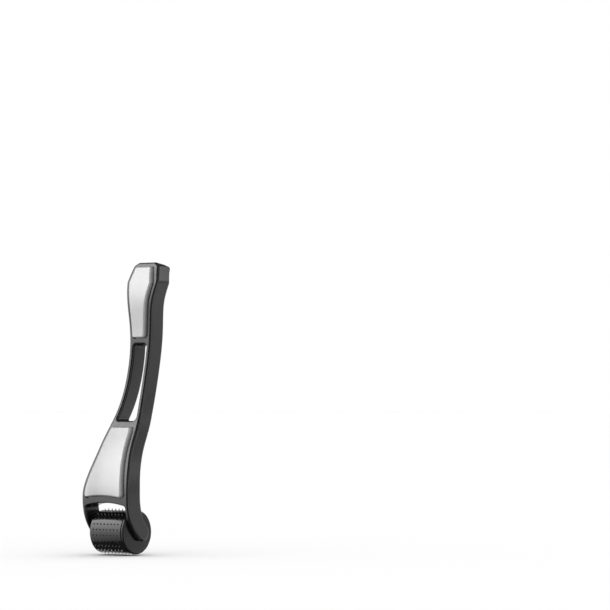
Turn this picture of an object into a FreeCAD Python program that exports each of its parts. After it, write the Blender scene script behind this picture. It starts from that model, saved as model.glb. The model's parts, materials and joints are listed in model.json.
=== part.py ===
import FreeCAD, Part
import os

# Derma roller: a hollow bowed handle with a fork at its foot, and a needled drum that spins in the fork.
# Frame: +X along the drum's axle to the right, -Y towards the inlaid front face, +Z up the handle.
# Everything is drawn about the axle's centre, then moved so that the origin is the middle of the
# bounding box's floor. Side-view points are (y, z) and front-view points are (x, z), in millimetres.

V = FreeCAD.Vector
ACROSS = V(1, 0, 0)
BACKWARD = V(0, 1, 0)

# Handle body
THICKNESS = 10.6                 # front face to rear face, measured horizontally
ARM_FACE = 15.5                  # from the middle to a fork arm's outer face
ARM_THICKNESS = 2.3
OUTER_EDGE_ROUND = 1.4
SLOT_EDGE_ROUND = 1.2
FORK_EDGE_ROUND = 0.6
WALL = 1.7                       # around the two hollows
SEAM_HEIGHT = 50.4               # level joint between the two rear shells
SEAM_GAP = 0.12
PARTING_DEPTH = 2.4              # thickness of the front frame, measured horizontally
UPPER_HOLLOW = (99.4, 132.5)
LOWER_HOLLOW = (21.0, 54.4)      # it runs across the joint between the rear shells

# Side view of the front face, from its top edge down to where it meets the arm's round tip
FRONT_FACE = [(22.1, 139.0), (19.5, 133.5), (17.5, 127.6), (16.1, 122.0), (15.6, 116.0), (16.1, 107.0),
              (16.1, 97.0), (14.6, 86.0), (12.0, 75.0), (8.2, 64.0), (3.3, 54.0), (-1.8, 45.5), (-6.3, 36.5),
              (-9.7, 28.0), (-11.4, 20.0), (-11.3, 14.0), (-10.0, 8.0), (-7.0, 2.4), (-1.8, -3.2)]
# Side view of the arm's rear face, from the round tip up to where it runs parallel to the front face
ARM_REAR = [(5.6, 1.4), (3.8, 4.0), (1.4, 7.4), (0.0, 11.5), (-0.8, 16.0), (-0.6, 21.0)]
REAR_PARALLEL = (27.0, 134.0)    # heights between which the rear face follows the front face
REAR_TOP = (31.8, 136.2)
TIP_CENTRE = (1.5, -0.2)
TIP_RADIUS = 4.4
# Front view of the right-hand side, from the fork up to the corner below the top facet
SIDE_OUTLINE = [(15.5, 16.0), (14.7, 25.0), (12.9, 33.5), (11.4, 41.5), (10.4, 50.0), (8.6, 60.0),
                (7.4, 70.0), (6.9, 82.0), (7.0, 94.0), (7.6, 106.0), (8.6, 117.0), (10.5, 128.2)]
FACETS = [(8.3, 137.2), (3.4, 139.9)]    # corners of the top's two bevels, the last one above the body
FACET_ROUNDS = (4.0, 2.0)        # bends below the first bevel and between the two

# Openings through the body
RAIL_WIDTH = 2.8                 # on either side of the long slot
SLOT_SPAN = (56.6, 96.2)
SLOT_CORNER = 1.6
FORK_CROWN = 15.1                # underside of the lower crossbar, at its middle
FORK_SHOULDER = 13.4             # and where it meets the arms
FORK_CORNER = 1.5

# Inlays: each lies on a film of adhesive in a recess of the front frame, with an open groove round it
RECESS_INSET = 2.5               # from the handle's outline
INLAY_INSET = 3.4
ADHESIVE_INSET = 4.0
RECESS_CREST_INSET = 1.5         # the same three at the bevels of the handle's top
INLAY_CREST_INSET = 1.6
ADHESIVE_CREST_INSET = 2.2
RECESS_DEPTH = 1.1
INLAY_PROUD = 2.0
INLAY_CORNER = 1.3
INLAY_EDGE_ROUND = 0.6
ADHESIVE_THICKNESS = 0.15
UPPER_RECESS = (99.0, 136.4)     # heights of each recess, inlay and film
UPPER_INLAY = (99.7, 136.3)
UPPER_ADHESIVE = (100.3, 135.7)
LOWER_RECESS = (16.5, 53.5)
LOWER_INLAY = (17.2, 53.4)
LOWER_ADHESIVE = (17.8, 52.8)
LOWER_INLAY_RISE = 1.6           # its bottom edge arches up this much towards the middle

# Tongues of the upper rear shell, which reach down behind the lower one's mouth
TONGUE_REACH = 5.0
TONGUE_WIDTH = 2.4
TONGUE_OFFSET = 5.4
TONGUE_DEPTH = 1.6
TONGUE_PLAY = 0.1

# Screws, driven backwards from under the inlays, at (x, z)
UPPER_SCREWS = [(0.0, 106.0), (0.0, 126.0)]
LOWER_SCREWS = [(-7.0, 27.0), (7.0, 27.0), (0.0, 45.0)]
SCREW_RADIUS = 0.9
SCREW_LENGTH = 4.6
SCREW_HOLE_SPARE = 0.2
HEAD_RADIUS = 1.7
HEAD_HEIGHT = 0.8
HEAD_CLEARANCE = 0.15
CROSS_SLOT = (0.4, 2.0, 0.45)    # width, length and depth of each blade of the cross recess
POST_RADIUS = 2.7
SEAT_WALL = 1.0                  # plastic between a screw's head and the rear shell's boss

# Axle, and what fills the gap between the drum and each arm
AXLE_RADIUS = 1.25
AXLE_HALF = 14.5
AXLE_CHAMFER = 0.3
GUARD_RADIUS = 11.3              # the disc inside the right arm, almost as large as the needled drum
GUARD_OUTER_FACE = 12.5
GUARD_EDGE_ROUND = 1.0
COLLAR_RADIUS = 6.5              # the small collar inside the left arm, and the disc's boss
SPACER_INNER_FACE = 10.75
WASHER_RADIUS = 3.2
WASHER_THICKNESS = 0.35

# Drum
DRUM_RADIUS = 11.0
DRUM_HALF = 10.3
DRUM_EDGE_ROUND = 0.3
CAP_RADIUS = 9.6
CAP_THICKNESS = 1.1
HUB_RADIUS = 8.0
HUB_BORE = 1.7
BUSH_RADIUS = 3.0
BUSH_LENGTH = 6.0
RUNNING_CLEARANCE = 0.05

# Needle rings, moulded into the drum's shell
RING_COUNT = 8
RING_PITCH = 2.3
RING_RADIUS = 9.0
RING_WIDTH = 0.6
NEEDLES_PER_RING = 24
NEEDLE_RADIUS = 0.2
NEEDLE_ROOT = 8.5                # inside its ring's band
NEEDLE_TAPER_START = 11.3
NEEDLE_TIP = 12.0
NEEDLE_POINT_RADIUS = 0.03

FAR = 60.0                       # reaches past the body on every side
ABOVE = 150.0                    # higher than the whole handle
CROWN_REACH = 12.0               # how far a layer runs on past the ends of the front face
TIP_REACH = 8.0
HAIR = 1e-3


# ---- outlines of the handle ----

def line(start, end):
    return Part.LineSegment(start, end).toShape()


def spline(points):
    curve = Part.BSplineCurve()
    curve.interpolate(points)
    return curve.toShape()


def chain(points):
    return [line(a, b) for a, b in zip(points, points[1:])]


def side_points(points, shift=0.0):
    return [V(0, y + shift, z) for y, z in points]


def across(face):
    """A side-view face swept through the whole width."""
    return face.translated(V(-FAR, 0, 0)).extrude(V(2 * FAR, 0, 0))


def through(face):
    """A front-view face swept from front to back."""
    return face.translated(V(0, -FAR, 0)).extrude(V(0, 2 * FAR, 0))


def side_profile():
    front = side_points(FRONT_FACE)
    low, high = REAR_PARALLEL
    parallel = [p for p in reversed(side_points(FRONT_FACE, THICKNESS)) if low < p.z < high]
    rear = side_points(ARM_REAR) + parallel + side_points([REAR_TOP])
    lowest = V(0, TIP_CENTRE[0], TIP_CENTRE[1] - TIP_RADIUS)
    tip = Part.Arc(front[-1], lowest, rear[0]).toShape()
    return Part.Face(Part.Wire([spline(front), tip, spline(rear), line(rear[-1], front[0])]))


def inward(direction):
    """The normal that points into the outline, for a direction that climbs the right-hand side."""
    unit = V(direction).normalize()
    return V(-unit.z, 0, unit.x)


def mitre(point, before, after, inset_before, inset_after):
    """Moves a corner inwards so that each of its sides moves in by its own inset."""
    one, two = inward(before), inward(after)
    cosine = one.dot(two)
    along_one = (inset_before - inset_after * cosine) / (1 - cosine ** 2)
    along_two = (inset_after - inset_before * cosine) / (1 - cosine ** 2)
    return point + one * along_one + two * along_two


def front_outline(inset=0.0, crest_inset=0.0):
    """Front view of the handle, drawn in by one inset at the sides and another at the crest."""
    side = [V(x, 0, z) for x, z in SIDE_OUTLINE]
    bevel, crest = [V(x, 0, z) for x, z in FACETS]
    climbs = [V(0, 0, 1)] + [b - a for a, b in zip(side, side[2:])]
    right = [point + inward(climb) * inset for point, climb in zip(side, climbs)]
    right.append(mitre(side[-1], side[-1] - side[-2], bevel - side[-1], inset, inset))
    corner = mitre(bevel, bevel - side[-1], crest - bevel, inset, crest_inset)
    top = [right[-1], corner, crest + inward(crest - bevel) * crest_inset]
    left = [V(-p.x, 0, p.z) for p in reversed(right)]
    right_side = Part.BSplineCurve()
    right_side.interpolate(right, InitialTangent=V(0, 0, 1), FinalTangent=right[-1] - right[-2])
    left_side = Part.BSplineCurve()
    left_side.interpolate(left, InitialTangent=left[1] - left[0], FinalTangent=V(0, 0, -1))
    reach = ARM_FACE - inset
    crown = chain(top + [V(-p.x, 0, p.z) for p in reversed(top)])
    foot = chain([left[-1], V(-reach, 0, -ARM_FACE), V(reach, 0, -ARM_FACE), right[0]])
    return Part.Face(Part.Wire([right_side.toShape()] + crown + [left_side.toShape()] + foot))


def layer(front, back):
    """The space between two copies of the front face, set back horizontally by two depths."""
    points = side_points(FRONT_FACE)
    above = points[0] + (points[0] - points[1]).normalize() * CROWN_REACH
    below = points[-1] + (points[-1] - points[-2]).normalize() * TIP_REACH
    edges = [line(above, points[0]), spline(points), line(points[-1], below)]
    near = [edge.translated(V(0, front, 0)) for edge in edges]
    far = [edge.translated(V(0, back, 0)) for edge in edges]
    crown = line(above + V(0, back, 0), above + V(0, front, 0))
    foot = line(below + V(0, front, 0), below + V(0, back, 0))
    return across(Part.Face(Part.Wire(near + [foot] + list(reversed(far)) + [crown])))


def region(bottom, top, rise=0.0):
    """The space between two heights, over a floor that arches up in the middle."""
    left = V(-ARM_FACE, 0, bottom)
    right = V(ARM_FACE, 0, bottom)
    floor = Part.Arc(left, V(0, 0, bottom + rise), right).toShape() if rise else line(left, right)
    walls = chain([right, V(ARM_FACE, 0, top), V(-ARM_FACE, 0, top), left])
    return through(Part.Face(Part.Wire([floor] + walls)))


def is_fore_and_aft(edge):
    return edge.BoundBox.XLength < HAIR and edge.BoundBox.ZLength < HAIR


def column(inset, span, rise=0.0, corner=0.0, crest_inset=None):
    """The front outline drawn in by an inset, between two heights, swept from front to back."""
    outline = front_outline(inset, inset if crest_inset is None else crest_inset)
    shape = through(outline).common(region(*span, rise)).Solids[0]
    if not corner:
        return shape
    return shape.makeFillet(corner, [edge for edge in shape.Edges if is_fore_and_aft(edge)])


def front_face_at(height):
    level = line(V(0, -FAR, height), V(0, FAR, height))
    return spline(side_points(FRONT_FACE)).distToShape(level)[1][0][0].y


# ---- handle ----

def fork_opening():
    inner = ARM_FACE - ARM_THICKNESS
    left = V(-inner, 0, FORK_SHOULDER)
    right = V(inner, 0, FORK_SHOULDER)
    arch = Part.Arc(left, V(0, 0, FORK_CROWN), right).toShape()
    walls = chain([right, V(inner, 0, -FAR), V(-inner, 0, -FAR), left])
    opening = through(Part.Face(Part.Wire([arch] + walls)))
    corners = [e for e in opening.Edges if is_fore_and_aft(e) and abs(e.CenterOfMass.z - FORK_SHOULDER) < HAIR]
    return opening.makeFillet(FORK_CORNER, corners)


def is_slot_edge(edge):
    box = edge.BoundBox
    low, high = SLOT_SPAN
    return low - HAIR < box.ZMin and box.ZMax < high + HAIR


def is_fork_edge(edge):
    """True for the rims of the fork's opening: the arch, its corners and the arms' inner edges."""
    box = edge.BoundBox
    within = max(abs(box.XMin), abs(box.XMax)) < ARM_FACE - ARM_THICKNESS + HAIR
    return within and box.ZMax < FORK_CROWN + HAIR


def is_across_tip(edge):
    box = edge.BoundBox
    return box.ZMax < FORK_SHOULDER - FORK_CORNER and box.XLength > HAIR


def handle_body():
    """The whole handle as one solid block, with its openings and rounded edges."""
    block = across(side_profile()).common(through(front_outline()))
    for radius, corner in zip(FACET_ROUNDS, (SIDE_OUTLINE[-1], FACETS[0])):
        bends = [e for e in block.Edges if is_fore_and_aft(e) and abs(e.CenterOfMass.z - corner[1]) < HAIR]
        block = block.makeFillet(radius, bends)
    block = block.cut(fork_opening()).cut(column(RAIL_WIDTH, SLOT_SPAN, corner=SLOT_CORNER)).Solids[0]
    edges = [edge for edge in block.Edges if not is_fore_and_aft(edge)]
    outer = [e for e in edges if not (is_slot_edge(e) or is_fork_edge(e) or is_across_tip(e))]
    block = block.makeFillet(OUTER_EDGE_ROUND, outer)
    for radius, chosen in ((SLOT_EDGE_ROUND, is_slot_edge), (FORK_EDGE_ROUND, is_fork_edge)):
        edges = [edge for edge in block.Edges if not is_fore_and_aft(edge)]
        block = block.makeFillet(radius, [edge for edge in edges if chosen(edge)])
    return block


def rod(radius, x, z, start, end):
    """A cylinder that runs backwards between two depths."""
    return Part.makeCylinder(radius, end - start, V(x, start, z), BACKWARD)


def screw_seat(z):
    """Depth at which a screw's head bears: the head stays under the whole of the slanted recess floor."""
    floor = max(front_face_at(z - HEAD_RADIUS), front_face_at(z + HEAD_RADIUS)) + RECESS_DEPTH
    return floor + HEAD_CLEARANCE + HEAD_HEIGHT


def front_frame(body):
    frame = body.common(layer(-THICKNESS, PARTING_DEPTH))
    for x, z in UPPER_SCREWS + LOWER_SCREWS:
        post = rod(POST_RADIUS, x, z, front_face_at(z), screw_seat(z) + SEAT_WALL)
        frame = frame.fuse(post.common(layer(RECESS_DEPTH, THICKNESS)))
    for span, rise in ((UPPER_RECESS, 0.0), (LOWER_RECESS, LOWER_INLAY_RISE)):
        recess = column(RECESS_INSET, span, rise, INLAY_CORNER, RECESS_CREST_INSET)
        frame = frame.cut(recess.common(layer(-FAR, RECESS_DEPTH)))
    for x, z in UPPER_SCREWS + LOWER_SCREWS:
        frame = frame.cut(rod(HEAD_RADIUS + HEAD_CLEARANCE, x, z, -FAR, screw_seat(z)))
        frame = frame.cut(rod(SCREW_RADIUS + HEAD_CLEARANCE, x, z, -FAR, FAR))
    return frame


def with_bosses(shell, screws):
    """Bosses that rise from the rear wall to meet the front frame's posts, with a hole for each screw."""
    for x, z in screws:
        start = screw_seat(z) + SEAT_WALL
        boss = rod(POST_RADIUS, x, z, start, FAR).common(layer(PARTING_DEPTH, THICKNESS - WALL / 2))
        shell = shell.fuse(boss)
    for x, z in screws:
        hole_end = screw_seat(z) + SCREW_LENGTH + SCREW_HOLE_SPARE
        shell = shell.cut(rod(SCREW_RADIUS, x, z, -FAR, hole_end))
    return shell


def tongue(side):
    x = side * TONGUE_OFFSET - TONGUE_WIDTH / 2
    low = SEAM_HEIGHT - TONGUE_REACH
    block = Part.makeBox(TONGUE_WIDTH, 2 * FAR, LOWER_HOLLOW[1] + WALL - low, V(x, -FAR, low))
    back = THICKNESS - WALL - TONGUE_PLAY
    return block.common(layer(back - TONGUE_DEPTH, back))


def rear_shells(body):
    rear = body.cut(layer(-THICKNESS, PARTING_DEPTH))
    for span in (UPPER_HOLLOW, LOWER_HOLLOW):
        rear = rear.cut(column(WALL, span).common(layer(PARTING_DEPTH - HAIR, THICKNESS - WALL)))
    upper = rear.common(region(SEAM_HEIGHT + SEAM_GAP / 2, ABOVE))
    lower = rear.common(region(-FAR, SEAM_HEIGHT - SEAM_GAP / 2))
    for side in (-1, 1):
        upper = upper.fuse(tongue(side))
        lower = lower.cut(axle_bore(side))
    return with_bosses(upper, UPPER_SCREWS), with_bosses(lower, LOWER_SCREWS)


def axle_bore(side):
    start = ARM_FACE - ARM_THICKNESS - HAIR
    return Part.makeCylinder(AXLE_RADIUS, AXLE_HALF - start, V(side * start, 0, 0), ACROSS * side)


def front_rim(shape):
    """The edges round the front face of a column cut from a layer."""
    upright = [edge for edge in shape.Edges if is_fore_and_aft(edge)]
    ends = [min(edge.Vertexes, key=lambda v: v.Y).Point for edge in upright]

    def at_front(vertex):
        return any((vertex.Point - end).Length < HAIR for end in ends)

    return [e for e in shape.Edges if not is_fore_and_aft(e) and all(at_front(v) for v in e.Vertexes)]


def inlay(span, rise):
    shape = column(INLAY_INSET, span, rise, INLAY_CORNER, INLAY_CREST_INSET)
    shape = shape.common(layer(-INLAY_PROUD, RECESS_DEPTH - ADHESIVE_THICKNESS)).Solids[0]
    return shape.makeFillet(INLAY_EDGE_ROUND, front_rim(shape))


def adhesive(span, rise, screws):
    shape = column(ADHESIVE_INSET, span, rise, INLAY_CORNER, ADHESIVE_CREST_INSET)
    shape = shape.common(layer(RECESS_DEPTH - ADHESIVE_THICKNESS, RECESS_DEPTH))
    for x, z in screws:
        shape = shape.cut(rod(HEAD_RADIUS + HEAD_CLEARANCE, x, z, -FAR, FAR))
    return shape


def screw(x, z):
    seat = screw_seat(z)
    width, length, depth = CROSS_SLOT
    face = seat - HEAD_HEIGHT
    shape = rod(HEAD_RADIUS, x, z, face, seat).fuse(rod(SCREW_RADIUS, x, z, face, seat + SCREW_LENGTH))
    for across_size, up_size in ((width, length), (length, width)):
        corner = V(x - across_size / 2, face, z - up_size / 2)
        shape = shape.cut(Part.makeBox(across_size, depth, up_size, corner))
    return shape.Solids[0]


def screws(places):
    return Part.makeCompound([screw(x, z) for x, z in places])


# ---- axle and spacers ----

def disc(radius, start, end, bore=0.0):
    """A disc or tube on the axle's line, between two distances from the middle."""
    shape = Part.makeCylinder(radius, end - start, V(start, 0, 0), ACROSS)
    if not bore:
        return shape
    return shape.cut(Part.makeCylinder(bore, end - start, V(start, 0, 0), ACROSS))


def ring_edges_at(shape, radius, x):
    """The circular edges of one radius at one distance from the middle."""
    found = []
    for edge in shape.Edges:
        box = edge.BoundBox
        if box.XLength < HAIR and abs(box.XMin - x) < HAIR and abs(box.ZLength - 2 * radius) < HAIR:
            found.append(edge)
    return found


def mirrored(shape):
    return shape.mirror(V(0, 0, 0), ACROSS)


def axle():
    shape = disc(AXLE_RADIUS, -AXLE_HALF, AXLE_HALF)
    ends = [edge for x in (-AXLE_HALF, AXLE_HALF) for edge in ring_edges_at(shape, AXLE_RADIUS, x)]
    return shape.makeChamfer(AXLE_CHAMFER, ends)


def right_guard_disc():
    shape = disc(GUARD_RADIUS, SPACER_INNER_FACE, GUARD_OUTER_FACE)
    shape = shape.makeFillet(GUARD_EDGE_ROUND, ring_edges_at(shape, GUARD_RADIUS, GUARD_OUTER_FACE))
    shape = shape.fuse(disc(COLLAR_RADIUS, SPACER_INNER_FACE, ARM_FACE - ARM_THICKNESS))
    return shape.cut(disc(AXLE_RADIUS, SPACER_INNER_FACE, ARM_FACE)).removeSplitter()


def left_collar():
    return mirrored(disc(COLLAR_RADIUS, SPACER_INNER_FACE, ARM_FACE - ARM_THICKNESS, AXLE_RADIUS))


def thrust_washer():
    return disc(WASHER_RADIUS, SPACER_INNER_FACE - WASHER_THICKNESS, SPACER_INNER_FACE, AXLE_RADIUS)


# ---- drum ----

def needle():
    shank = Part.makeCylinder(NEEDLE_RADIUS, NEEDLE_TAPER_START - NEEDLE_ROOT, V(0, 0, NEEDLE_ROOT))
    point = Part.makeCone(NEEDLE_RADIUS, NEEDLE_POINT_RADIUS, NEEDLE_TIP - NEEDLE_TAPER_START,
                          V(0, 0, NEEDLE_TAPER_START))
    return shank.fuse(point)


def needle_ring(x):
    band = disc(RING_RADIUS, -RING_WIDTH / 2, RING_WIDTH / 2, HUB_RADIUS)
    step = 360.0 / NEEDLES_PER_RING
    needles = []
    for i in range(NEEDLES_PER_RING):
        needles.append(needle().rotated(V(0, 0, 0), ACROSS, (i + 0.5) * step))
    return band.multiFuse(needles).removeSplitter().translated(V(x, 0, 0))


def ring_places():
    return [(i - (RING_COUNT - 1) / 2) * RING_PITCH for i in range(RING_COUNT)]


def drum_shell(rings):
    shape = disc(DRUM_RADIUS, -DRUM_HALF, DRUM_HALF, HUB_RADIUS)
    ends = [edge for x in (-DRUM_HALF, DRUM_HALF) for edge in ring_edges_at(shape, DRUM_RADIUS, x)]
    shape = shape.makeFillet(DRUM_EDGE_ROUND, ends)
    seat = DRUM_HALF - CAP_THICKNESS
    shape = shape.cut([disc(CAP_RADIUS, seat, DRUM_HALF), disc(CAP_RADIUS, -DRUM_HALF, -seat)])
    return shape.cut(rings)


def drum_hub():
    half = DRUM_HALF - CAP_THICKNESS
    shape = disc(HUB_RADIUS, -half, half, HUB_BORE)
    bush_end = DRUM_HALF - BUSH_LENGTH
    return shape.cut([disc(BUSH_RADIUS, bush_end, half), disc(BUSH_RADIUS, -half, -bush_end)])


def drum_cap():
    return disc(CAP_RADIUS, DRUM_HALF - CAP_THICKNESS, DRUM_HALF, BUSH_RADIUS)


def bush():
    return disc(BUSH_RADIUS, DRUM_HALF - BUSH_LENGTH, DRUM_HALF, AXLE_RADIUS + RUNNING_CLEARANCE)


# ---- whole part ----

def make_nodes():
    body = handle_body()
    upper_shell, lower_shell = rear_shells(body)
    nodes = {
        "front_frame": front_frame(body),
        "rear_upper_shell": upper_shell,
        "rear_lower_shell": lower_shell,
        "upper_inlay": inlay(UPPER_INLAY, 0.0),
        "lower_inlay": inlay(LOWER_INLAY, LOWER_INLAY_RISE),
        "upper_inlay_adhesive": adhesive(UPPER_ADHESIVE, 0.0, UPPER_SCREWS),
        "lower_inlay_adhesive": adhesive(LOWER_ADHESIVE, LOWER_INLAY_RISE, LOWER_SCREWS),
        "upper_screws": screws(UPPER_SCREWS),
        "lower_screws": screws(LOWER_SCREWS),
        "axle": axle(),
        "right_guard_disc": right_guard_disc(),
        "left_collar": left_collar(),
        "drum_hub": drum_hub(),
    }
    for name, make in (("thrust_washer", thrust_washer), ("drum_cap", drum_cap), ("bush", bush)):
        nodes["right_" + name] = make()
        nodes["left_" + name] = mirrored(make())
    rings = [needle_ring(x) for x in ring_places()]
    for number, ring in enumerate(rings, start=1):
        nodes["needle_ring_%d" % number] = ring
    nodes["drum_shell"] = drum_shell(rings)
    return nodes


def write_nodes(nodes):
    box = Part.makeCompound(list(nodes.values())).optimalBoundingBox(False, False)
    shift = V(-(box.XMin + box.XMax) / 2, -(box.YMin + box.YMax) / 2, -box.ZMin)
    print("axle centre at y %.4f, z %.4f" % (shift.y, shift.z))
    print("size %.2f x %.2f x %.2f" % (box.XLength, box.YLength, box.ZLength))
    for name, shape in nodes.items():
        moved = shape.translated(shift)
        print(name, len(moved.Solids), moved.isValid(), round(moved.Volume, 2))
        moved.exportStep(os.path.join("parts", name + ".step"))


os.makedirs("parts", exist_ok=True)
write_nodes(make_nodes())
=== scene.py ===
import json
import math

import bmesh
import bpy
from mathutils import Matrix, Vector


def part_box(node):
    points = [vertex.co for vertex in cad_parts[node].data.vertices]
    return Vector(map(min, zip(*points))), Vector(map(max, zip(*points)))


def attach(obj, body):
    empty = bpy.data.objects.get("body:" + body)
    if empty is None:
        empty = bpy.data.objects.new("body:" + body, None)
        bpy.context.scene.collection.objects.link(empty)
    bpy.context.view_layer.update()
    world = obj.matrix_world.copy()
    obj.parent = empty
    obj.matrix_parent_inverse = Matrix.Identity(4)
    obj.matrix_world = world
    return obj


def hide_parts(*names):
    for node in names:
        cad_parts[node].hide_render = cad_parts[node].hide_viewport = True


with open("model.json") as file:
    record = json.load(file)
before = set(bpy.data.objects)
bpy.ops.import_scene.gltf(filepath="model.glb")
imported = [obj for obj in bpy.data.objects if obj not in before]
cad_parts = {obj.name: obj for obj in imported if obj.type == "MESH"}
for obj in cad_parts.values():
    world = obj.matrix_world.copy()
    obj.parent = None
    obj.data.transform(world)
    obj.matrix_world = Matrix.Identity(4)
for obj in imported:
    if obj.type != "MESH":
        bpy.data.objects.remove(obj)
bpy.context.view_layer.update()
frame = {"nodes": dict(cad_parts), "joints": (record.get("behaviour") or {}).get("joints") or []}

# Lengths are in metres unless a comment says otherwise. The height of a direction runs from -1, straight
# down, to 1, straight up.

# ---- camera ----

AXLE = Vector(frame["joints"][0]["pos_m"])
PHOTO_SIDE = 610                 # pixels
CAMERA_AZIMUTH = math.radians(37.0)
CAMERA_DISTANCE = 1.5            # from the axle, along the view
CAMERA_RIGHT = 0.0952            # from the axle, across the view
CAMERA_HEIGHT = 0.0674           # above the axle
CAMERA_PITCH = math.radians(1.86)
PIXELS_PER_METRE = 1950          # in the picture, at the axle's distance
SENSOR = 36.0                    # millimetres, like the lens
NEAREST = 0.05
FARTHEST = 20

# ---- floor and light ----

FLOOR_SIZE = 60
FLOOR_COLOUR = (0.89, 0.89, 0.89, 1)
WHITE = (1, 1, 1, 1)
DEGREES_PER_RADIAN = math.degrees(1)

# What rough surfaces receive, by the height of the direction.
ROOM_LIGHT = [(0.0, 0.30), (1.0, 1.53)]
# What gloss mirrors, by the height of the direction: dark far down and far up, and bright between.
SKY = [(-1.0, 0.03), (-0.60, 0.05), (-0.585, 0.45), (-0.37, 0.75), (-0.24, 0.88), (-0.09, 0.80),
       (-0.01, 0.70), (0.05, 0.70), (0.12, 0.54), (0.20, 0.50), (0.36, 0.80), (0.42, 0.70),
       (0.47, 0.12), (1.0, 0.08)]
# Azimuths are in degrees from the front, positive to the right: outer edge, inner edges, outer edge.
# Each rise is a brightness by the height of the direction.
SOFTBOX_AZIMUTH = (-78, -68, -14, -6)
SOFTBOX_RISE = [(-0.60, 0.0), (-0.585, 0.15), (-0.37, 0.30), (0.0, 1.26), (0.18, 2.5), (0.42, 3.2),
                (0.47, 3.9), (0.72, 4.9), (0.75, 0.0)]
DARK_AZIMUTH = (-8, 2, 55, 68)   # the camera's own dark surroundings
DARKENING = 0.92                 # the share of the sky that they hide
STRIP_AZIMUTH = (76, 80, 86, 90)     # a narrow upright light on the right
STRIP_GLOW = 1.2
BACK_AZIMUTH = (100, 110, 170, 179)  # a patch of light behind, on the right
BACK_RISE = [(0.24, 0.0), (0.32, 0.9), (0.42, 0.9), (0.47, 0.0)]

# ---- materials ----

NOISE_SPAN = (0.3, 0.7)          # nearly all of a noise's values lie in it
PLAIN = 2                        # octaves of a noise
RICH = 4
MOTTLE_SCALE = 260               # a noise of scale 1000 has features of about a millimetre
GLOSS_SCALE = 700
EDGE_POINTINESS = (0.52, 0.60)   # from flat faces to outer edges
EDGE_ROUGHNESS = (1.0, 0.8)      # from flat faces to outer edges, which handling has polished

# Painted reflection on the inlays: their colour made lighter and darker along a broad slanting band,
# standing in for the gloss's reflection of the room.
PAINTED_REFLECTION_ACROSS = 90.0              # the painted reflection's lie: per metre across the handle and up it
PAINTED_REFLECTION_ALONG = 22.0
PAINTED_REFLECTION = [(-0.6, 1.0), (-0.25, 0.75), (0.0, 0.2), (0.35, 0.15), (0.9, 0.5), (1.6, 0.72), (2.2, 0.80),
         (3.3, 0.75)]
FLAKE_SCALE = 5200
FLAKE_BRIGHTNESS = (0.0, 0.25)
CLOUD_SCALE = 90
CLOUD_BRIGHTNESS = (-0.08, 0.08)
LACQUER_GLOSS_SCALE = 900
LACQUER_ROUGHNESS = (0.34, 0.42)
LACQUER_METALLIC = 0.35
PEEL_SCALE = 1600
PEEL_DEPTH = 3e-7

# ---- pieces in finer shape than the CAD ----

SHARP_EDGE = math.radians(35)
ARC_STEPS = 5
DRUM_SEGMENTS = 192
RIM_ROUND = 0.0003

DISC_FACE_DEPTH = 0.0007         # from the boss's face down to the disc's
DISC_EDGE_ROUND = 0.001
DISC_CHAMFER = 0.0003            # on the edge next to the drum
BOSS_RADIUS = 0.0026             # small enough to stay behind the arm's tip

RINGS = sorted(name for name in frame["nodes"] if name.startswith("needle_ring"))
NEEDLES_PER_RING = 24
FIRST_NEEDLE = 0.5               # of the step from needle to needle, from the top
# Dark matte collars at the needles' feet: painted shade, standing in for the needles' shadows and dark
# reflections on the glossy drum.
SHADE_COLLAR_SEGMENTS = 14
# Each dark collar's radius, and its height above the drum.
SHADE_COLLAR_PROFILE = [(0.00043, -0.00003), (0.00040, 0.00003), (0.00034, 0.00006), (0.00027, 0.00004),
                (0.00019, -0.00004)]

OUTSIDE = 0.05                   # far enough out to be clear of the handle's skin
BELOW_SEAM = 0.00005
SEAM_TURNS = [math.radians(a) for a in range(-104, 105, 8)]     # from the rear round to both sides
SEAM_MIDDLE = 0.0042             # from the rear face in to the section's middle
TONGUE_INSET = (0.0005, 0.0009)  # of its outer and inner face, from the handle's skin
TONGUE_REACH = 0.0006            # into each shell
TONGUE_SECTION = ((0, -1), (0, 1), (1, 1), (1, -1))     # which inset, and down or up

# Depth into the wall (negative) or out of it, and radius.
EJECTOR_OUTLINE = [(-0.0002, 0.00045), (-0.0002, 0.00080), (0.00003, 0.00080), (0.00006, 0.00074),
                   (0.00006, 0.00052), (0.00003, 0.00045)]
EJECTOR_PLACE = (0.0093, 0.0862)     # y and z on the walls of the long slot
EJECTOR_SEGMENTS = 32


def make_camera():
    """Stands to the front right, level with the lower inlay, and sees the roller left of the middle."""
    right = Vector((math.cos(CAMERA_AZIMUTH), math.sin(CAMERA_AZIMUTH), 0))
    back = Vector((math.sin(CAMERA_AZIMUTH), -math.cos(CAMERA_AZIMUTH), 0))
    up = Vector((0, 0, 1))
    look = -back * math.cos(CAMERA_PITCH) + up * math.sin(CAMERA_PITCH)
    data = bpy.data.cameras.new("camera")
    data.sensor_width = SENSOR
    data.lens = PIXELS_PER_METRE * CAMERA_DISTANCE * SENSOR / PHOTO_SIDE
    data.clip_start = NEAREST
    data.clip_end = FARTHEST
    camera = bpy.data.objects.new("camera", data)
    camera.location = AXLE + back * CAMERA_DISTANCE + right * CAMERA_RIGHT + up * CAMERA_HEIGHT
    camera.rotation_mode = "QUATERNION"
    camera.rotation_quaternion = look.to_track_quat("-Z", "Y")
    bpy.context.collection.objects.link(camera)
    bpy.context.scene.camera = camera


def math_node(tree, operation, first, second):
    node = tree.nodes.new("ShaderNodeMath")
    node.operation = operation
    for socket, value in zip(node.inputs, (first, second)):
        if isinstance(value, (int, float)):
            socket.default_value = value
        else:
            tree.links.new(value, socket)
    return node.outputs[0]


def add(tree, first, second):
    return math_node(tree, "ADD", first, second)


def subtract(tree, first, second):
    return math_node(tree, "SUBTRACT", first, second)


def multiply(tree, first, second):
    return math_node(tree, "MULTIPLY", first, second)


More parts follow.
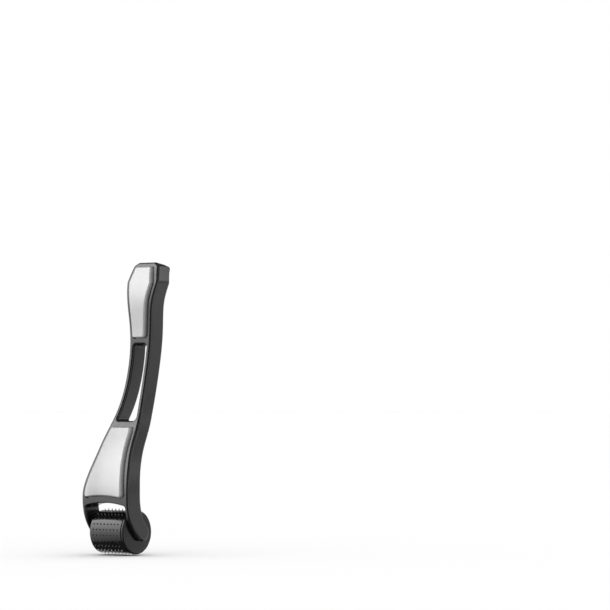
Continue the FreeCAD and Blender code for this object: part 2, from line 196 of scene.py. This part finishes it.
def map_range(tree, value, span, results):
    """A straight line from one end of the span to the other, and level beyond both."""
    node = tree.nodes.new("ShaderNodeMapRange")
    node.inputs["From Min"].default_value, node.inputs["From Max"].default_value = span
    node.inputs["To Min"].default_value, node.inputs["To Max"].default_value = results
    tree.links.new(value, node.inputs["Value"])
    return node.outputs["Result"]


def curve(tree, value, stops):
    """Straight lines between (value, result) pairs."""
    total = None
    for (x0, y0), (x1, y1) in zip(stops, stops[1:]):
        if total is None:
            total = map_range(tree, value, (x0, x1), (y0, y1))
        else:
            total = add(tree, total, map_range(tree, value, (x0, x1), (0, y1 - y0)))
    return total


def window(tree, value, edges):
    """One between the two inner edges, and fading to nothing at the outer ones."""
    low, in_low, in_high, high = edges
    return curve(tree, value, [(low, 0.0), (in_low, 1.0), (in_high, 1.0), (high, 0.0)])


def make_world():
    """White to the eye, even light on rough surfaces, and a bright room and a softbox for gloss."""
    world = bpy.data.worlds.new("studio")
    world.use_nodes = True
    tree = world.node_tree
    place = tree.nodes.new("ShaderNodeTexCoord")
    split = tree.nodes.new("ShaderNodeSeparateXYZ")
    tree.links.new(place.outputs["Generated"], split.inputs["Vector"])
    height = split.outputs["Z"]
    front = multiply(tree, split.outputs["Y"], -1)
    azimuth = math_node(tree, "ARCTAN2", split.outputs["X"], front)
    azimuth = multiply(tree, azimuth, DEGREES_PER_RADIAN)

    dark = multiply(tree, window(tree, azimuth, DARK_AZIMUTH), DARKENING)
    sky = multiply(tree, curve(tree, height, SKY), subtract(tree, 1, dark))
    softbox = multiply(tree, window(tree, azimuth, SOFTBOX_AZIMUTH), curve(tree, height, SOFTBOX_RISE))
    strip = multiply(tree, window(tree, azimuth, STRIP_AZIMUTH), STRIP_GLOW)
    back = multiply(tree, window(tree, azimuth, BACK_AZIMUTH), curve(tree, height, BACK_RISE))
    mirrored = add(tree, add(tree, sky, back), add(tree, softbox, strip))
    room = curve(tree, height, ROOM_LIGHT)

    path = tree.nodes.new("ShaderNodeLightPath")
    is_glossy = path.outputs["Is Glossy Ray"]
    is_camera = path.outputs["Is Camera Ray"]
    is_rough = subtract(tree, subtract(tree, 1, is_glossy), is_camera)
    strength = add(tree, multiply(tree, mirrored, is_glossy), multiply(tree, is_rough, room))
    strength = add(tree, strength, is_camera)
    background = tree.nodes["Background"]
    background.inputs["Color"].default_value = WHITE
    tree.links.new(strength, background.inputs["Strength"])
    bpy.context.scene.world = world


def new_material(name):
    material = bpy.data.materials.new(name)
    material.use_nodes = True
    tree = material.node_tree
    return material, tree, tree.nodes["Principled BSDF"]


def floor_material():
    material, _, shader = new_material("floor")
    shader.inputs["Base Color"].default_value = FLOOR_COLOUR
    shader.inputs["Roughness"].default_value = 1.0
    shader.inputs["Specular IOR Level"].default_value = 0.0
    return material


def make_studio():
    """A wide pale floor in a white world. Gloss doesn't mirror the floor, because the world has its own."""
    bpy.context.scene.view_settings.view_transform = "Standard"
    make_world()
    bpy.ops.mesh.primitive_plane_add(size=FLOOR_SIZE)
    floor = bpy.context.object
    floor.name = "floor"
    floor.data.materials.append(floor_material())
    floor.visible_glossy = False


def noise(tree, scale, detail):
    """Noise in the object's own space."""
    place = tree.nodes.new("ShaderNodeTexCoord")
    texture = tree.nodes.new("ShaderNodeTexNoise")
    texture.inputs["Scale"].default_value = scale
    texture.inputs["Detail"].default_value = detail
    tree.links.new(place.outputs["Object"], texture.inputs["Vector"])
    return texture.outputs["Fac"]


def spread(tree, noise_value, results):
    """Spreads a noise value, which stays near a half, over a range of numbers."""
    return map_range(tree, noise_value, NOISE_SPAN, results)


def blend_colours(tree, value, first, second):
    node = tree.nodes.new("ShaderNodeMix")
    node.data_type = "RGBA"
    node.inputs["A"].default_value = (*first, 1)
    node.inputs["B"].default_value = (*second, 1)
    tree.links.new(value, node.inputs["Factor"])
    return node.outputs["Result"]


def bump(tree, value, distance):
    node = tree.nodes.new("ShaderNodeBump")
    node.inputs["Distance"].default_value = distance
    tree.links.new(value, node.inputs["Height"])
    return node.outputs["Normal"]


def worn_edges(tree):
    """What the roughness is multiplied by, so that outer edges shine a little more than flat faces."""
    geometry = tree.nodes.new("ShaderNodeNewGeometry")
    return map_range(tree, geometry.outputs["Pointiness"], EDGE_POINTINESS, EDGE_ROUGHNESS)


def plastic(name, dark, light, roughness, grain, depth, specular=0.5):
    """Moulded plastic: mottled colour, uneven gloss, a fine mould grain and slightly polished edges."""
    material, tree, shader = new_material(name)
    mottle = spread(tree, noise(tree, MOTTLE_SCALE, RICH), (0, 1))
    gloss = spread(tree, noise(tree, GLOSS_SCALE, PLAIN), roughness)
    gloss = multiply(tree, gloss, worn_edges(tree))
    tree.links.new(blend_colours(tree, mottle, dark, light), shader.inputs["Base Color"])
    tree.links.new(gloss, shader.inputs["Roughness"])
    tree.links.new(bump(tree, noise(tree, grain, PLAIN), depth), shader.inputs["Normal"])
    shader.inputs["Specular IOR Level"].default_value = specular
    return material


def metal(name, dark, light, roughness, grain, depth):
    """Worked metal: one fine grain in its colour, its gloss and its surface."""
    material, tree, shader = new_material(name)
    marks = noise(tree, grain, RICH)
    mottle = spread(tree, marks, (0, 1))
    tree.links.new(blend_colours(tree, mottle, dark, light), shader.inputs["Base Color"])
    tree.links.new(spread(tree, marks, roughness), shader.inputs["Roughness"])
    tree.links.new(bump(tree, marks, depth), shader.inputs["Normal"])
    shader.inputs["Metallic"].default_value = 1.0
    return material


def silver_lacquer(name, dull, bright):
    """Fine flakes, a broad soft painted reflection that runs slantwise in the colour, faint clouds and a
    little orange peel.
    """
    material, tree, shader = new_material(name)
    place = tree.nodes.new("ShaderNodeTexCoord")
    split = tree.nodes.new("ShaderNodeSeparateXYZ")
    tree.links.new(place.outputs["Object"], split.inputs["Vector"])
    across = multiply(tree, split.outputs["X"], PAINTED_REFLECTION_ACROSS)
    along = multiply(tree, split.outputs["Z"], PAINTED_REFLECTION_ALONG)
    # Painted reflection: lighter and darker colour along a slanting line across and up the inlay.
    painted_reflection = curve(tree, add(tree, across, along), PAINTED_REFLECTION)
    flakes = spread(tree, noise(tree, FLAKE_SCALE, PLAIN), FLAKE_BRIGHTNESS)
    cloud = spread(tree, noise(tree, CLOUD_SCALE, PLAIN), CLOUD_BRIGHTNESS)
    brightness = add(tree, add(tree, painted_reflection, flakes), cloud)
    gloss = spread(tree, noise(tree, LACQUER_GLOSS_SCALE, PLAIN), LACQUER_ROUGHNESS)
    peel = bump(tree, noise(tree, PEEL_SCALE, PLAIN), PEEL_DEPTH)
    tree.links.new(blend_colours(tree, brightness, dull, bright), shader.inputs["Base Color"])
    tree.links.new(gloss, shader.inputs["Roughness"])
    tree.links.new(peel, shader.inputs["Normal"])
    shader.inputs["Metallic"].default_value = LACQUER_METALLIC
    return material


def paint(material, *nodes):
    for name in nodes:
        node = frame["nodes"][name]
        if not node.material_slots:
            node.data.materials.append(material)
        for slot in node.material_slots:
            slot.material = material


def make_materials():
    """Paints every CAD node, and returns the materials that the added pieces use."""
    handle = plastic("handle_plastic", dark=(0.008, 0.008, 0.009), light=(0.011, 0.011, 0.012),
                     roughness=(0.20, 0.28), grain=2600, depth=4e-7, specular=0.65)
    cheek = plastic("cheek_plastic", dark=(0.007, 0.007, 0.008), light=(0.010, 0.010, 0.011),
                    roughness=(0.16, 0.24), grain=2600, depth=3e-7, specular=0.4)
    drum = plastic("drum_plastic", dark=(0.007, 0.007, 0.008), light=(0.010, 0.010, 0.011),
                   roughness=(0.10, 0.16), grain=2000, depth=2e-7)
    # Darker and matte: painted shade for the needles' shadows and dark reflections on the drum.
    needle_shade = plastic("needle_shade_plastic", dark=(0.005, 0.005, 0.006), light=(0.008, 0.008, 0.009),
                   roughness=(0.5, 0.6), grain=2000, depth=1e-6, specular=0.3)
    inlay = silver_lacquer("inlay_silver", dull=(0.30, 0.30, 0.30), bright=(0.46, 0.46, 0.46))
    steel = metal("screw_steel", dark=(0.62, 0.62, 0.62), light=(0.80, 0.80, 0.80),
                  roughness=(0.18, 0.30), grain=6000, depth=1e-6)
    needle = metal("needle_steel", dark=(0.36, 0.36, 0.36), light=(0.46, 0.46, 0.46),
                   roughness=(0.20, 0.30), grain=9000, depth=5e-7)
    white = plastic("bearing_plastic", dark=(0.72, 0.72, 0.70), light=(0.80, 0.80, 0.78),
                    roughness=(0.35, 0.5), grain=2500, depth=2e-6)
    film = plastic("adhesive_film", dark=(0.62, 0.60, 0.52), light=(0.70, 0.68, 0.60),
                   roughness=(0.5, 0.7), grain=2500, depth=4e-6)
    paint(handle, "front_frame", "rear_upper_shell", "rear_lower_shell")
    paint(cheek, "left_drum_cap", "right_drum_cap", "right_guard_disc", "left_collar")
    paint(drum, "drum_shell", "drum_hub")
    paint(inlay, "upper_inlay", "lower_inlay")
    paint(steel, "axle", "upper_screws", "lower_screws")
    paint(needle, *RINGS)
    paint(white, "left_bush", "right_bush", "left_thrust_washer", "right_thrust_washer")
    paint(film, "upper_inlay_adhesive", "lower_inlay_adhesive")
    return handle, drum, needle_shade, cheek


def add_mesh(name, vertices, faces, material, slot):
    mesh = bpy.data.meshes.new(name)
    mesh.from_pydata(vertices, [], faces)
    mesh.validate()
    build = bmesh.new()
    build.from_mesh(mesh)
    bmesh.ops.recalc_face_normals(build, faces=build.faces)
    build.to_mesh(mesh)
    build.free()
    mesh.shade_smooth()
    mesh.set_sharp_from_angle(angle=SHARP_EDGE)
    mesh.materials.append(material)
    piece = bpy.data.objects.new(name, mesh)
    bpy.context.collection.objects.link(piece)
    return piece


def belt(first, second, count):
    """Four-sided faces between two closed loops of vertices, given by where each loop starts."""
    corners = [(i, (i + 1) % count) for i in range(count)]
    return [(first + i, first + j, second + j, second + i) for i, j in corners]


def lathe(outline, centre, segments):
    """A closed (x, radius) outline turned about the axle's line."""
    vertices = []
    for k in range(segments):
        turn = 2 * math.pi * k / segments
        around = Vector((0, -math.sin(turn), math.cos(turn)))
        vertices += [centre + Vector((x, 0, 0)) + around * radius for x, radius in outline]
    count = len(outline)
    faces = []
    for k in range(segments):
        faces += belt(k * count, (k + 1) % segments * count, count)
    return vertices, faces


def arc(centre_x, centre_radius, size, start, end):
    angles = [math.radians(start + (end - start) * i / ARC_STEPS) for i in range(ARC_STEPS + 1)]
    return [(centre_x + size * math.cos(a), centre_radius + size * math.sin(a)) for a in angles]


def radius_of(node):
    low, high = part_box(node)
    return (high[2] - low[2]) / 2


def surface_point(node, start, towards):
    """Where a line from the start first meets the node's surface."""
    return frame["nodes"][node].ray_cast(start, towards)[1]


def make_drum_shell(material):
    """The drum's skin, with rounded rims and a step at each end for the cap."""
    low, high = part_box("drum_shell")
    half = (high[0] - low[0]) / 2
    radius = radius_of("drum_shell")
    cap_low, cap_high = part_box("right_drum_cap")
    step = cap_high[0] - cap_low[0]
    cap_radius = radius_of("right_drum_cap")
    bore = radius_of("drum_hub")
    right = arc(half - RIM_ROUND, radius - RIM_ROUND, RIM_ROUND, 90, 0)
    right += [(half, cap_radius), (half - step, cap_radius), (half - step, bore)]
    left = [(-x, r) for x, r in reversed(right)]
    centre = (Vector(low) + Vector(high)) / 2
    piece = add_mesh("drum_skin", *lathe(left + right, centre, DRUM_SEGMENTS), material, "drum_black")
    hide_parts("drum_shell")
    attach(piece, "roller")


def make_guard_disc(material):
    """The large disc beside the drum, with a rounded outer edge and a low boss that bears on the arm."""
    inner, boss_face = (corner[0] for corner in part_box("right_guard_disc"))
    face = boss_face - DISC_FACE_DEPTH
    radius = radius_of("right_guard_disc")
    bore = radius_of("axle")
    outline = [(inner, bore), (inner, radius - DISC_CHAMFER), (inner + DISC_CHAMFER, radius)]
    outline += arc(face - DISC_EDGE_ROUND, radius - DISC_EDGE_ROUND, DISC_EDGE_ROUND, 90, 0)
    outline += [(face, BOSS_RADIUS), (boss_face, BOSS_RADIUS), (boss_face, bore)]
    centre = Vector((0, AXLE.y, AXLE.z))
    piece = add_mesh("guard_disc", *lathe(outline, centre, DRUM_SEGMENTS), material, "cheek_black")
    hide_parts("right_guard_disc")
    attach(piece, "handle")


def make_needle_shade_collars(material):
    """A low dark matte collar round the foot of each needle: painted shade that stands in for the needle's
    shadow and dark reflection on the drum.
    """
    vertices = []
    faces = []
    radius = radius_of("drum_shell")
    for ring in RINGS:
        low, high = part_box(ring)
        middle = Vector(((low[0] + high[0]) / 2, AXLE.y, AXLE.z))
        for k in range(NEEDLES_PER_RING):
            turn = 2 * math.pi * (k + FIRST_NEEDLE) / NEEDLES_PER_RING
            out = Vector((0, -math.sin(turn), math.cos(turn)))
            side = Vector((0, math.cos(turn), math.sin(turn)))
            first = len(vertices)
            for wide, proud in SHADE_COLLAR_PROFILE:
                for j in range(SHADE_COLLAR_SEGMENTS):
                    angle = 2 * math.pi * j / SHADE_COLLAR_SEGMENTS
                    sideways = wide * math.sin(angle)
                    flat = Vector((wide * math.cos(angle), 0, 0)) + side * sideways
                    drop = radius - math.sqrt(radius ** 2 - sideways ** 2)
                    vertices.append(middle + out * (radius - drop + proud) + flat)
            for i in range(len(SHADE_COLLAR_PROFILE) - 1):
                start = first + i * SHADE_COLLAR_SEGMENTS
                faces += belt(start, start + SHADE_COLLAR_SEGMENTS, SHADE_COLLAR_SEGMENTS)
    piece = add_mesh("needle_shade_collars", vertices, faces, material, "drum_black")
    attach(piece, "roller")


def make_seam_tongue(material):
    """The lip inside the level joint between the rear shells, which keeps light from passing through it."""
    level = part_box("rear_lower_shell")[1][2] - BELOW_SEAM
    rear = surface_point("rear_lower_shell", Vector((0, OUTSIDE, level)), Vector((0, -1, 0)))
    middle = Vector((0, rear.y - SEAM_MIDDLE, level))
    vertices = []
    for turn in SEAM_TURNS:
        outward = Vector((math.sin(turn), math.cos(turn), 0))
        skin = surface_point("rear_lower_shell", middle + outward * OUTSIDE, -outward)
        for inset, rise in TONGUE_SECTION:
            vertices.append(skin - outward * TONGUE_INSET[inset] + Vector((0, 0, rise * TONGUE_REACH)))
    corners = len(TONGUE_SECTION)
    last = len(vertices) - corners
    faces = []
    for start in range(0, last, corners):
        faces += belt(start, start + corners, corners)
    faces += [tuple(range(corners)), tuple(range(last, last + corners))]
    piece = add_mesh("seam_tongue", vertices, faces, material, "shell_black")
    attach(piece, "handle")


def make_ejector_marks(material):
    """The round mark that a mould's ejector pin leaves on each wall of the long slot."""
    for name, side in (("ejector_mark_left", -1), ("ejector_mark_right", 1)):
        wall = surface_point("rear_upper_shell", Vector((0, *EJECTOR_PLACE)), Vector((side, 0, 0)))
        outline = [(-side * x, r) for x, r in EJECTOR_OUTLINE]
        piece = add_mesh(name, *lathe(outline, wall, EJECTOR_SEGMENTS), material, "shell_black")
        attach(piece, "handle")


make_camera()
make_studio()
handle_plastic, drum_plastic, needle_shade_plastic, cheek_plastic = make_materials()
make_drum_shell(drum_plastic)
make_guard_disc(cheek_plastic)
make_needle_shade_collars(needle_shade_plastic)
make_seam_tongue(handle_plastic)
make_ejector_marks(handle_plastic)
